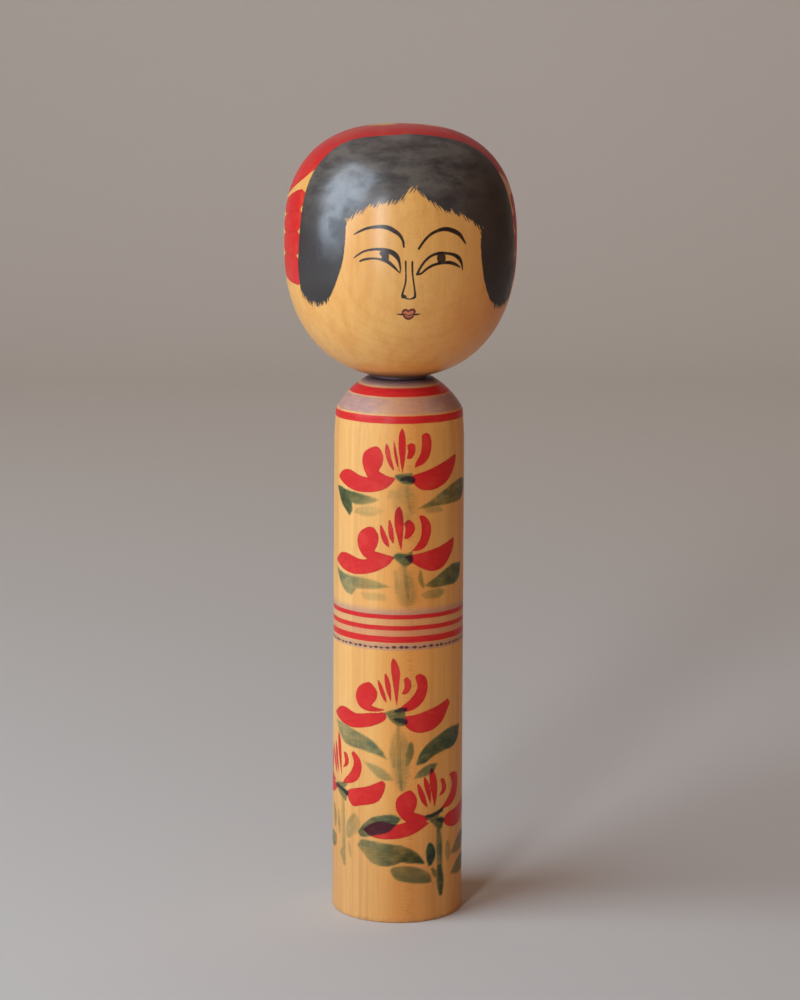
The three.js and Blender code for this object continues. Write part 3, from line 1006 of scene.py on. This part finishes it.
hair = {
    "outline": [  # runs between corners, from the fringe's left end
        [(-25.0, 19.7), (-21.0, 22.4), (-13.6, 24.9), (-7.5, 25.7), (-3.4, 26.4), (0.4, 29.8), (3.1, 32.0)],
        [(5.6, 28.9), (10.1, 24.9), (14.0, 22.7), (20.0, 21.6), (26.0, 19.6), (30.5, 17.2), (34.3, 14.8)],
        [(34.2, 8.0), (35.3, -0.6), (37.6, -10.4), (42.0, -20.0), (47.0, -25.4)],
        [(51.9, -26.8), (58.0, -27.2), (64.6, -25.2)],
        [(67.4, -14.0), (66.2, 1.5), (61.4, 19.6), (54.6, 36.0), (46.6, 47.8), (39.4, 53.2), (29.5, 57.6),
         (16.9, 59.2), (3.8, 60.2), (-5.1, 59.4), (-13.8, 59.2), (-24.5, 59.0), (-33.5, 55.6), (-40.7, 49.4),
         (-46.4, 42.0), (-51.4, 31.0), (-56.4, 12.6), (-58.6, -4.0), (-57.2, -17.0), (-55.2, -20.6)],
        [(-51.4, -22.9), (-46.0, -23.2), (-41.4, -21.8)],
        [(-37.1, -17.2), (-32.8, -7.4), (-30.0, 1.6), (-28.6, 11.0), (-27.7, 19.2)],
    ],
    "fringe": [(-26.0, 19.6, 0.0), (-13.6, 24.9, 0.0), (-3.4, 26.4, 0.0), (3.1, 32.0, 0.0), (10.1, 24.9, 0.0),
               (20.0, 21.6, 0.0), (34.0, 15.0, 0.0)],
    "lockEnds": [
        [(-55.4, -20.0, 0.0), (-48.0, -23.2, 0.0), (-40.4, -21.0, 0.0)],
        [(45.4, -24.6, 0.0), (54.0, -27.0, 0.0), (64.0, -25.2, 0.0)],
    ],
    "bristles": 5.0,  # mm from the fringe over which they fade
    "lockBristles": 1.5,  # how much looser they are at the locks' ends
    "parting": 3.1,
    "slant": (0.84, 0.54),  # the fringe's bristles lean towards the parting
}

ribbon = {
    "band": [
        [(-48.0, 43.2), (-54.0, 41.0), (-66.0, 38.6), (-76.0, 38.0)],
        [(-76, 50), (-66, 62), (-52, 71.5), (-38, 78), (-27, 80), (-17, 77), (-9, 76), (-2, 80), (5, 82),
         (12, 79.6), (18, 75.6), (26, 76), (38, 77), (52, 70), (66, 58), (78, 44), (84, 40)],
        [(74.0, 38.6), (62.0, 41.0), (54.0, 43.0)],
        [(44.0, 46.0), (30.0, 53.0), (4.0, 56.0), (-24.0, 54.0), (-38.0, 46.0), (-44.6, 44.2)],
    ],
    # four stacked strokes on the left, each from (where the hair's edge is, top) to (it again, bottom)
    "knots": [(-52.0, 35.6, -53.6, 25.0), (-53.6, 25.0, -56.4, 14.0), (-56.4, 14.0, -58.6, 0.8),
              (-58.6, 0.8, -57.6, -15.8)],
    "knotWidth": (24.0, 22.6, 21.6, 22.0),
    "notch": 1.5,
    "mirror": 4.4,  # mm, the middle of the hair
    "petals": 7,  # on the back of the crown
    "petalFrom": 10.0,  # mm from the crown's middle
    "petalTo": 38.0,
    "petalWidth": 10.5,
    "petalFan": 27.0,  # degrees between them
    "button": 5.0,
}


def overSurface(places, turn, tip):
    # mm over a ball of the head's radius from a middle point, as (right, up) seen from outside it
    heights = places[:, 2] - facing["middle"]
    ahead = np.array([math.sin(turn) * math.cos(tip), -math.cos(turn) * math.cos(tip), math.sin(tip)])
    right = np.array([math.cos(turn), math.sin(turn), 0.0])
    up = np.cross(ahead, right)
    rays = np.c_[places[:, :2], heights]
    rays /= np.linalg.norm(rays, axis=1)[:, None].clip(1e-6)
    angle = np.arccos((rays @ ahead).clip(-1, 1))
    flat = np.c_[rays @ right, rays @ up]
    return flat / np.linalg.norm(flat, axis=1)[:, None].clip(1e-6) * (angle * headRadius)[:, None]


def knotMarks():
    r = ribbon
    for (topEdge, top, lowEdge, low), width in zip(r["knots"], r["knotWidth"]):
        notch = r["notch"]
        outer = min(topEdge, lowEdge) - width
        yield [
            [(topEdge - 8, top + 0.3), (outer + 4, top - 0.5)],
            [(outer + 1, top - 3), (outer, (top + low) / 2), (outer + 1, low + 3), (outer + 4, low + 0.5)],
            [(lowEdge - 10, low - 0.3), (lowEdge - notch, low)],
            [(lowEdge + 2, low + 2 * notch)],
            [(topEdge + 2, top - 2 * notch)],
            [(topEdge - notch, top)],
        ]


def mirrored(mark):
    return [[(2 * ribbon["mirror"] - across, up) for across, up in run] for run in mark]


def crownPetals():
    # round-ended petals that fan out backwards, seen from above with the face at the bottom
    for i in range(ribbon["petals"]):
        turn = math.radians((i - (ribbon["petals"] - 1) / 2) * ribbon["petalFan"])
        way = np.array([math.sin(turn), math.cos(turn)])
        shares = (0.0, 0.35, 0.7, 0.92, 1.0)
        widths = (0.25, 0.7, 1.0, 0.85, 0.35)
        length = ribbon["petalTo"] - ribbon["petalFrom"]
        yield [(*(way * (ribbon["petalFrom"] + share * length)), width * ribbon["petalWidth"])
               for share, width in zip(shares, widths)]


def paintHead(head):
    places = meshPlaces(head)
    around = np.arctan2(places[:, 0], -places[:, 1]) * headRadius
    face = np.c_[around, places[:, 2]]
    turn = math.radians(facing["turn"])
    front = overSurface(places, turn, 0.0)
    crown = overSurface(places, turn, math.pi / 2)
    shown = places[:, 2] > bodyTop + 2
    behind = (rayLength(front) > headRadius * math.radians(facing["frontTo"])) & shown
    hairEdge = np.where(behind, farAway, markDistance(hair["outline"], front))
    knots = list(knotMarks())
    knots += [mirrored(mark) for mark in knots]
    red = np.where(behind, farAway, marksDistance([ribbon["band"], *knots], front))
    button = [(0.0, 0.0, ribbon["button"]), (0.1, 0.0, ribbon["button"])]
    red = np.minimum(red, marksDistance([*crownPetals(), button], crown))
    fringe = strokeDistance(smoothRun(hair["fringe"]), front)
    ends = np.minimum(*[strokeDistance(smoothRun(end), front) for end in hair["lockEnds"]])
    lean, rise = hair["slant"]
    slanted = front[:, 0] * lean + np.sign(front[:, 0] - hair["parting"]) * front[:, 1] * rise
    loose = (1 - np.minimum(fringe, ends) / hair["bristles"]).clip(0, 1)
    loose = loose * np.where(ends < fringe, hair["lockBristles"], 1.0)
    keepValue(head, "hairEdge", np.where(shown, hairEdge, farAway))
    keepValue(head, "bristleAcross", np.where(ends < fringe, front[:, 0], slanted))
    keepValue(head, "bristleLoose", loose)
    keepValue(head, "ribbonEdge", np.where(shown, red, farAway))
    keepValue(head, "ribbonAcross", rayLength(front))
    keepValue(head, "inkEdge", marksDistance([*faceLines.values(), *pupils], face))
    keepValue(head, "lipEdge", marksDistance(lips, face))
    keepValue(head, "lipBody", markDistance(lipBody, face))


def rayLength(spots):
    return np.hypot(spots[:, 0], spots[:, 1])


wood = {
    "pale": (0.86, 0.455, 0.128),
    "honey": (0.75, 0.315, 0.064),
    "late": (0.46, 0.175, 0.036),
    "amber": (0.78, 0.25, 0.04),
    "paintedLitSide": (1.0, 1.08, 1.35),  # painted light: makes the body's left, towards the lamps, paler and less orange
    "ringWidth": 2.6,  # mm
    "pith": (-9.0, 34.0),  # mm, where the middle of the tree was in the doll's plan
    "wander": 5.0,  # mm that the year rings stray
    "coat": 0.16,  # how much polish the body has, and then the head and its hair
    "headCoat": 0.34,
    "hairCoat": 0.84,
    "coatIndex": {"body": 1.5, "head": 1.85},
    "coatRoughness": {"body": 0.28, "head": 0.26},
    "specular": 0.15,
}

dyes = {
    "red": (0.61, 0.007, 0.014),
    "thinRed": (0.74, 0.05, 0.035),
    "deepRed": (0.38, 0.002, 0.010),
    "green": (0.11, 0.27, 0.45),  # the share of the wood's own light that a full wash lets by
    "olive": (0.15, 0.27, 0.28),
    "greenUnderRed": (0.11, 0.5, 0.9),  # what it leaves of a red laid over it
    "violet": (0.305, 0.188, 0.222),
    "shadedViolet": (0.10, 0.055, 0.07),
    "ink": (0.016, 0.010, 0.008),
    "hairInk": (0.033, 0.033, 0.034),
    "hairStrand": (0.045, 0.038, 0.033),
    "hairSheen": (0.125, 0.11, 0.09),
    "lip": (0.13, 0.012, 0.01),
    "lipTint": (0.52, 0.09, 0.05),
    "dot": (0.075, 0.02, 0.03),
    "darkCup": (0.03, 0.022, 0.018),
    "headUndersideShade": (0.09, 0.04, 0.018),
    "speck": (0.25, 0.13, 0.06),
    "chip": (0.35, 0.3, 0.25),
    "rubbedFoot": (0.36, 0.2, 0.09),
    "darkerLowDown": (0.82, 0.78, 0.8),  # what is left of the colour low on the body, which gets darker towards the bottom
}

# rings turned on the lathe, each from one height to another
shoulderBands = {
    # the first is painted shade, darkening the shoulder's top right under the head
    "neckShade": (247.3, 249.3),
    "topViolet": (247.5, 260.0),
    "topRed": (243.4, 246.8),
    "broadViolet": (236.4, 242.9),
    "edgeRed": (232.2, 235.6),
}

waistBands = {
    "haze": (145.4, 149.5),
    "upperRed": (143.1, 145.2),
    "middleRed": (137.9, 140.1),
    "lowerRed": (132.2, 135.2),
    "betweenTint": (135.2, 137.9),
    "upperTint": (140.1, 143.1),
    "dotsGround": (128.6, 132.0),
    "thread": (129.7, 130.4),
    "dots": 130.0,  # the height of their middles
    "dotCount": 66,
    "dotSize": 0.8,
}


def turnedWood(paint, x, y, z, offset, figure):
    # a solid block of fine-grained timber with its grain along z: colour, and height for the bump
    w = wood
    wander = paint.noise(x * 0.012 + offset, y * 0.012, z * 0.004, 2.0) - 0.5
    sideways = x - w["pith"][0] + wander * (2 * w["wander"])
    radius = (sideways * sideways + (y - w["pith"][1]) * (y - w["pith"][1])) ** 0.5
    ring = ((radius + wander * 6) * (2 * math.pi / w["ringWidth"])).sum("SINE") * 0.5 + 0.5
    late = ring ** 5
    fibre = paint.noise(x * 1.4 + offset, y * 1.4, z * 0.022, 3.0, 0.6)
    fineFibre = paint.noise(x * 4.5, y * 4.5 + offset, z * 0.09, 2.0, 0.6)
    cloud = paint.noise(x * 0.03, y * 0.03 + offset, z * 0.012, 2.0)
    board = paint.noise(x * 0.16 + offset, y * 0.16, z * 0.004, 2.0, 0.6)
    amount = paint.between(cloud, 0.3, 0.75) * 0.35 + paint.between(fibre, 0.35, 0.7) * 0.25 \
        + paint.between(board, 0.35, 0.65) * 0.4
    colour = paint.blend(amount, w["pale"], w["honey"])
    colour = paint.blend(paint.between(board, 0.52, 0.74) * (0.4 * figure), colour, w["late"])
    colour = paint.blend(late * 0.07 + paint.between(fineFibre, 0.52, 0.76) * 0.3, colour, w["late"])
    pores = paint.noise(x * 7, y * 7 + offset, z * 0.5, 1.0)
    colour = paint.blend(paint.between(pores, 0.66, 0.76) * 0.3, colour, w["late"])
    # ripples in the figure, in a streak down one side of the front
    angle = paint.node("ShaderNodeMath", {"operation": "ARCTAN2"}, {0: x, 1: y * -1})
    lean = paint.noise(0.0, offset, z * 0.03) * 0.1
    streak = 1 - paint.between((angle - 0.14 - lean).sum("ABSOLUTE"), 0.03, 0.15)
    ripple = paint.noise(x * 0.3, y * 0.3, z * 2.2, 1.0)
    colour = paint.blend(streak * paint.between(ripple, 0.46, 0.66) * figure, colour, w["late"])
    height = fineFibre * 0.25 + fibre * 0.15
    return colour, height


def latheMarks(paint, z):
    # the fine rings that the tool leaves
    coarse = paint.noise(0.0, 0.0, z * 0.8, 2.0, 0.7)
    fine = paint.noise(3.0, 0.0, z * 3.1, 1.0)
    return coarse * 0.6 + fine * 0.25


def inBand(paint, z, band, soft=0.22):
    low, high = band
    return paint.between(z, low - soft, low + soft) * (1 - paint.between(z, high - soft, high + soft))


def finish(paint, wax, colour, roughness, coat, height, depth):
    normal = paint.node("ShaderNodeBump", {}, {"Strength": 1.0, "Distance": depth * mm, "Height": height})
    shader = paint.node("ShaderNodeBsdfPrincipled", {}, {
        "Base Color": colour,
        "Roughness": roughness,
        "Coat Weight": coat,
        "Coat Roughness": wood["coatRoughness"][wax],
        "Coat IOR": wood["coatIndex"][wax],
        "Specular IOR Level": wood["specular"],
        "Normal": normal,
    })
    paint.node("ShaderNodeOutputMaterial", {}, {"Surface": shader})
    return paint.material


def soaked(paint, ink, dye):
    # what a transparent dye lets by, the more of it the less
    return paint.vector(*[(ink * math.log(share)).sum("EXPONENT") for share in dyes[dye]])


def bodyFinish():
    paint = Paint("paintedBody")
    x, y, z = paint.place()
    colour, height = turnedWood(paint, x, y, z, 3.0, 0.5)
    around = paint.node("ShaderNodeMath", {"operation": "ARCTAN2"}, {0: x, 1: y * -1}) * girthRadius
    # a streak of amber in the wood down the front
    amberAndShade = 1 - paint.between((around - 5).sum("ABSOLUTE"), 2.0, 17.0)
    colour = paint.blend(amberAndShade * 0.45, colour, wood["amber"])
    # painted light: the body's left side, towards the lamps, made paler and less orange
    paintedLitSide = paint.blend(1.0, colour, wood["paintedLitSide"], "MULTIPLY")
    colour = paint.blend(paint.between(around, -20.0, -4.0, 1.0, 0.0), colour, paintedLitSide)
    across, along = paint.attribute("fanAcross"), paint.attribute("fanAlong")

    # green, laid on first: soft, and streaked along each leaf
    wet = paint.noise(x * 0.16, y * 0.16, z * 0.2, 3.0, 0.6)
    streaks = paint.noise(across * 0.9, along * 0.12, 5.0, 2.0)
    leafInk = paint.attribute("leafInk")
    hairs = paint.noise(x * 0.17, y * 0.17, z * 1.5, 3.0, 0.65)
    uneven = paint.between(wet, 0.3, 0.7) * 0.45 + (streaks - 0.5) * 0.5 + (hairs - 0.5) * 0.8
    leafInk = leafInk * (uneven + 0.95)
    drift = paint.between(paint.noise(x * 0.06, y * 0.06, z * 0.05), 0.4, 0.65)
    wash = leafInk.sum("MAXIMUM", 0.0) ** 1.35 * 0.97
    stain = paint.blend(drift, soaked(paint, wash, "green"), soaked(paint, wash, "olive"))
    leafed = paint.blend(1.0, colour, stain, "MULTIPLY")
    leafed = paint.blend(paint.between(paint.attribute("leafInk"), 1.1, 1.6) * 0.9, leafed, dyes["darkCup"])

    # red petals: pooled along the edge, thinner and streaked inside
    petal = paint.attribute("petalEdge")
    rough = (paint.noise(x * 1.3, y * 1.3, z * 1.3, 3.0, 0.6) - 0.5) * 0.5
    petal = petal + rough
    petalMask = 1 - paint.between(petal, -0.22, 0.22)
    bristle = paint.noise(across * 1.6, along * 0.1, 1.0, 3.0, 0.6)
    faded = paint.between(paint.noise(x * 0.12, y * 0.12, z * 0.12), 0.45, 0.7)
    thin = paint.between(bristle, 0.45, 0.75) * 0.35 + faded * 0.4
    pooled = paint.between(petal, -0.9, -0.1)
    red = paint.blend(thin, dyes["red"], dyes["thinRed"])
    red = paint.blend(pooled * 0.35, red, dyes["deepRed"])
    overGreen = paint.blend(leafInk * 1.25, red, paint.blend(1.0, red, dyes["greenUnderRed"], "MULTIPLY"))
    dyed = paint.blend(petalMask * 0.97, leafed, overGreen)

    # bands turned on the lathe
    sway = (paint.noise(x * 0.06, y * 0.06, 2.0) - 0.5) * 0.5
    level = z + sway
    brushed = paint.noise(x * 0.07, y * 0.07, z * 2.6, 3.0, 0.65)
    worn = paint.noise(x * 0.18 + 4, y * 0.18, z * 1.1, 3.0, 0.6)
    violet = inBand(paint, level, shoulderBands["topViolet"]) * 0.85
    rubbed = paint.between((around - 3).sum("ABSOLUTE"), 4.0, 24.0, 0.56, 0.9)
    violet = violet.sum("MAXIMUM", inBand(paint, level, shoulderBands["broadViolet"], 0.3) * rubbed)
    violet = violet.sum("MAXIMUM", inBand(paint, level, waistBands["betweenTint"], 0.3) * 0.36)
    violet = violet.sum("MAXIMUM", inBand(paint, level, waistBands["upperTint"], 0.3) * 0.25)
    violet = violet.sum("MAXIMUM", inBand(paint, level, waistBands["dotsGround"], 0.4) * 0.5)
    haze = paint.between(level, *waistBands["haze"], 0.62, 0.0) * paint.between(level, 142.8, 143.4)
    violet = violet.sum("MAXIMUM", haze)
    violet = violet * paint.between(brushed, 0.3, 0.7, 0.82, 1.0) * paint.between(worn, 0.3, 0.65, 0.74, 1.0)
    violet = violet.sum("MAXIMUM", paint.between(level, 235.5, 236.2) * 0.34)
    banded = paint.blend(violet, dyed, dyes["violet"])
    banded = paint.blend(inBand(paint, level, waistBands["betweenTint"], 0.3) * 0.14, banded, dyes["thinRed"])
    # painted shade: the shoulder's top dark violet right under the head
    banded = paint.blend(paint.between(level, *shoulderBands["neckShade"]) * 0.85, banded, dyes["shadedViolet"])
    redBand = inBand(paint, level, shoulderBands["topRed"])
    for name in ("upperRed", "middleRed", "lowerRed"):
        redBand = redBand.sum("MAXIMUM", inBand(paint, level, waistBands[name]))
    redBand = redBand.sum("MAXIMUM", inBand(paint, level, shoulderBands["edgeRed"]))
    bandRed = paint.blend(paint.between(brushed, 0.4, 0.75) * 0.55, dyes["red"], dyes["thinRed"])
    bandRed = paint.blend(paint.between(worn, 0.5, 0.72) * 0.4, bandRed, dyes["deepRed"])
    banded = paint.blend(redBand * paint.between(brushed, 0.15, 0.5, 0.84, 0.98), banded, bandRed)

    # a ring of dots, each a touch of the brush
    step = 2 * math.pi * girthRadius / waistBands["dotCount"]
    cell = (around / step).sum("FLOOR")
    jitter = paint.node("ShaderNodeTexWhiteNoise", {"noise_dimensions": "1D"}, {"W": cell})
    size = paint.node("ShaderNodeTexWhiteNoise", {"noise_dimensions": "1D"}, {"W": cell + 0.5})
    sideways = around - (cell + 0.5 + (jitter - 0.5) * 0.45) * step
    upwards = (level - waistBands["dots"] - (size - 0.5) * 0.5) * 1.5
    dot = (sideways * sideways + upwards * upwards) ** 0.5
    reach = (size * 0.5 + 0.75) * waistBands["dotSize"]
    dotMask = 1 - paint.between(dot - reach, -0.2, 0.35)
    thread = inBand(paint, level, waistBands["thread"], 0.35) * 0.4
    banded = paint.blend((dotMask * 0.92).sum("MAXIMUM", thread), banded, dyes["dot"])

    # age: a rubbed foot and specks; and the colour darker towards the bottom
    foot = 1 - paint.between(z, 0.4, 3.0)
    scuffs = paint.noise(x * 0.6, y * 0.6 + 9, z * 0.7, 3.0, 0.7)
    aged = paint.blend(foot * paint.between(scuffs, 0.35, 0.65) * 0.55, banded, dyes["rubbedFoot"])
    darkerLowDown = paint.blend(1.0, aged, dyes["darkerLowDown"], "MULTIPLY")
    aged = paint.blend(1 - paint.between(z, 5.0, 85.0), aged, darkerLowDown)
    specks = paint.noise(x * 1.1, y * 1.1, z * 1.1, 1.0)
    aged = paint.blend(paint.between(specks, 0.76, 0.8) * 0.3, aged, dyes["speck"])

    dyeSheen = petalMask.sum("MAXIMUM", redBand)
    roughness = 0.42 + (worn - 0.5) * 0.2 - dyeSheen * 0.06
    height = height + latheMarks(paint, z) * 0.8 + dyeSheen * 0.15
    coat = paint.between(worn, 0.3, 0.7, 0.75, 1.0) * wood["coat"]
    return finish(paint, "body", aged, roughness, coat, height, 0.05)


def headFinish():
    paint = Paint("paintedHead")
    x, y, z = paint.place()
    colour, height = turnedWood(paint, x, y, z, 11.0, 0.1)
    # painted shade: the head's wood more amber and darker towards the lower right, away from the lamps
    amberAndShade = paint.between(x + (300 - z) * 0.7, 10.0, 55.0)
    colour = paint.blend(amberAndShade * 0.5, colour, wood["amber"])

    # ribbon
    edge = paint.attribute("ribbonEdge") + (paint.noise(x * 1.1, y * 1.1, z * 1.1, 3.0, 0.6) - 0.5) * 0.6
    ribbonMask = 1 - paint.between(edge, -0.25, 0.25)
    brushed = paint.noise(paint.attribute("ribbonAcross") * 0.9, z * 0.05, 1.0, 3.0, 0.6)
    worn = paint.noise(x * 0.09, y * 0.09, z * 0.09, 3.0, 0.6)
    red = paint.blend(paint.between(brushed, 0.42, 0.75) * 0.45, dyes["red"], dyes["thinRed"])
    red = paint.blend(paint.between(edge, -1.4, -0.2) * 0.35, red, dyes["deepRed"])
    # painted shade: the ribbon's red deeper towards the top of the crown and towards the right
    red = paint.blend(paint.between(z, 340.0, 358.0) * 0.4, red, dyes["deepRed"])
    red = paint.blend(paint.between(x, 0.0, 45.0) * 0.4, red, dyes["deepRed"])
    painted = paint.blend(ribbonMask * paint.between(worn, 0.2, 0.5, 0.86, 0.98), colour, red)

    # hair: clean at the sides, brushed out at the fringe and the ends of the locks
    across = paint.attribute("bristleAcross")
    loose = paint.attribute("bristleLoose")
    bristle = paint.noise(across * 1.8, z * 0.12, 2.0, 2.0, 0.6)
    fineBristle = paint.noise(across * 4.0, z * 0.25, 7.0, 1.0)
    fray = paint.between(bristle, 0.3, 0.7, -2.1, 1.7) + paint.between(fineBristle, 0.3, 0.7, -0.7, 0.7)
    wobble = (paint.noise(x * 0.6, y * 0.6, z * 0.6, 2.0) - 0.5) * 0.5
    hairEdge = paint.attribute("hairEdge") + wobble + fray * (loose * 0.8 + 0.04)
    hairMask = 1 - paint.between(hairEdge, -0.18, 0.22)
    strands = paint.noise(x * 0.9, y * 0.9, z * 0.06, 3.0, 0.6)
    hairColour = paint.blend(paint.between(strands, 0.5, 0.8) * 0.5, dyes["hairInk"], dyes["hairStrand"])
    # painted sheen: the hair is lighter in patches over its top, and less so on the right
    sheenPatches = paint.noise(x * 0.07, y * 0.07 + 5, z * 0.16, 4.0, 0.65)
    paintedSheen = paint.between(sheenPatches, 0.3, 0.7) * paint.between(z, 312.0, 346.0)
    paintedSheen = paintedSheen * paint.between(x, 20.0, 46.0, 1.0, 0.2)
    hairColour = paint.blend(paintedSheen, hairColour, dyes["hairSheen"])
    painted = paint.blend(hairMask * 0.985, painted, hairColour)

    # the face's thin lines
    nib = (paint.noise(x * 2.2, y * 2.2, z * 2.2, 2.0) - 0.5) * 0.22
    lipMask = 1 - paint.between(paint.attribute("lipEdge") + nib, -0.14, 0.16)
    lipBody = 1 - paint.between(paint.attribute("lipBody") + nib, -0.3, 0.3)
    painted = paint.blend(lipBody * 0.75, painted, dyes["lipTint"])
    painted = paint.blend(lipMask * 0.95, painted, dyes["lip"])
    inkMask = 1 - paint.between(paint.attribute("inkEdge") + nib, -0.16, 0.16)
    flow = paint.noise(x * 0.35, y * 0.35, z * 0.35, 2.0)
    painted = paint.blend(inkMask * paint.between(flow, 0.3, 0.6, 0.95, 1.0), painted, dyes["ink"])

    # chips and rubbed specks
    specks = paint.noise(x * 0.85, y * 0.85, z * 0.85, 1.0)
    chips = paint.between(specks, 0.77, 0.8) * 0.45 * (hairMask + ribbonMask * 0.5)
    painted = paint.blend(chips, painted, dyes["chip"])

    # the shoulder's violet runs on over the collar, darkened there as painted shade, and painted shade
    # darkens the head's underside above it
    painted = paint.blend((1 - paint.between(z, 251.4, 257.0)) * 0.75, painted, dyes["headUndersideShade"])
    painted = paint.blend((1 - paint.between(z, 250.7, 251.0)) * 0.95, painted, dyes["shadedViolet"])

    # the polish lies unevenly over the hair
    cloudy = paint.noise(x * 0.1, y * 0.1, z * 0.1, 3.0, 0.55)
    roughness = 0.44 - hairMask * paint.between(cloudy, 0.36, 0.62, 0.0, 0.14)
    polish = paint.between(cloudy, 0.32, 0.62, 0.42, 1.0) * paint.between(x, -22.0, 26.0, 1.0, 0.22) \
        * paint.between(z, 288.0, 322.0, 0.1, 1.0)
    bare = paint.between(z, 250.8, 252.0, 0.1, wood["headCoat"])
    bare = bare * (1 - ribbonMask * paint.between(x, -20.0, 30.0) * 0.7)
    coat = bare + hairMask * (polish * wood["hairCoat"] - wood["headCoat"])
    height = height * (1 - hairMask * 0.7) + latheMarks(paint, z) * 0.5 + strands * hairMask * 0.9 \
        + (hairMask + ribbonMask) * 0.12 + cloudy * hairMask * 0.6
    return finish(paint, "head", painted, roughness, coat, height, 0.05)


def paperFinish():
    paint = Paint("studioPaper")
    x, y, z = paint.place()
    tone = paint.noise(x * 0.004, y * 0.004, z * 0.004)
    shader = paint.node("ShaderNodeBsdfPrincipled", {}, {
        "Base Color": paint.blend(tone * 0.15, studio["paper"], tuple(c * 0.85 for c in studio["paper"])),
        "Roughness": 0.85,
    })
    paint.node("ShaderNodeOutputMaterial", {}, {"Surface": shader})
    return paint.material


def addFloor():
    # a sheet of paper that runs on under the doll and curves up behind it
    s = studio
    deselectAll()
    depth = s["floorBack"] - s["floorFront"]
    middle = (s["floorBack"] + s["floorFront"]) / 2
    bpy.ops.mesh.primitive_plane_add(size=1, location=(0, middle, 0))
    floor = bpy.context.object
    floor.name = "floor"
    bpy.ops.transform.resize(value=(s["floorWidth"], depth, 1))
    bpy.ops.object.transform_apply(location=True, rotation=True, scale=True)
    selectEdges(floor, lambda place: place.y > s["floorBack"] - mm)
    bpy.ops.mesh.extrude_region_move(TRANSFORM_OT_translate={"value": (0, 0, s["wallHeight"])})
    bpy.ops.object.mode_set(mode="OBJECT")
    selectEdges(floor, lambda place: place.y > s["floorBack"] - mm and place.z < mm)
    bpy.ops.mesh.bevel(offset=s["coveRadius"], segments=24, affect="EDGES")
    bpy.ops.object.mode_set(mode="OBJECT")
    bpy.ops.object.shade_smooth()
    floor.data.materials.append(paperFinish())


def selectEdges(piece, chosen):
    bpy.ops.object.mode_set(mode="EDIT")
    bpy.ops.mesh.select_mode(type="EDGE")
    bpy.ops.mesh.select_all(action="DESELECT")
    bpy.ops.object.mode_set(mode="OBJECT")
    places = [vertex.co for vertex in piece.data.vertices]
    for edge in piece.data.edges:
        edge.select = all(chosen(places[i]) for i in edge.vertices)
    bpy.ops.object.mode_set(mode="EDIT")


def lightRoom():
    world = bpy.data.worlds.new("room")
    world.use_nodes = True
    background = world.node_tree.nodes["Background"]
    background.inputs["Color"].default_value = (*studio["room"], 1)
    background.inputs["Strength"].default_value = studio["roomStrength"]
    bpy.context.scene.world = world
    bpy.context.scene.view_settings.view_transform = "Standard"


print("camera and light")
addCamera()
lightRoom()
for name, lamp in lamps.items():
    addLamp(name, lamp)
addFloor()

print("body")
body = turnPiece("turned_body", bodyOutline(), bodySweeps())
paintBody(body)
body.data.materials.append(bodyFinish())
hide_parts("body")
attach(body, "body")

print("head")
head = turnPiece("turned_head", headOutline(), headSweeps())
paintHead(head)
head.data.materials.append(headFinish())
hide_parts("head")
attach(head, "head")

for piece in (body, head):
    print(piece.name, len(piece.data.polygons), "faces", [round(side / mm, 1) for side in piece.dimensions])
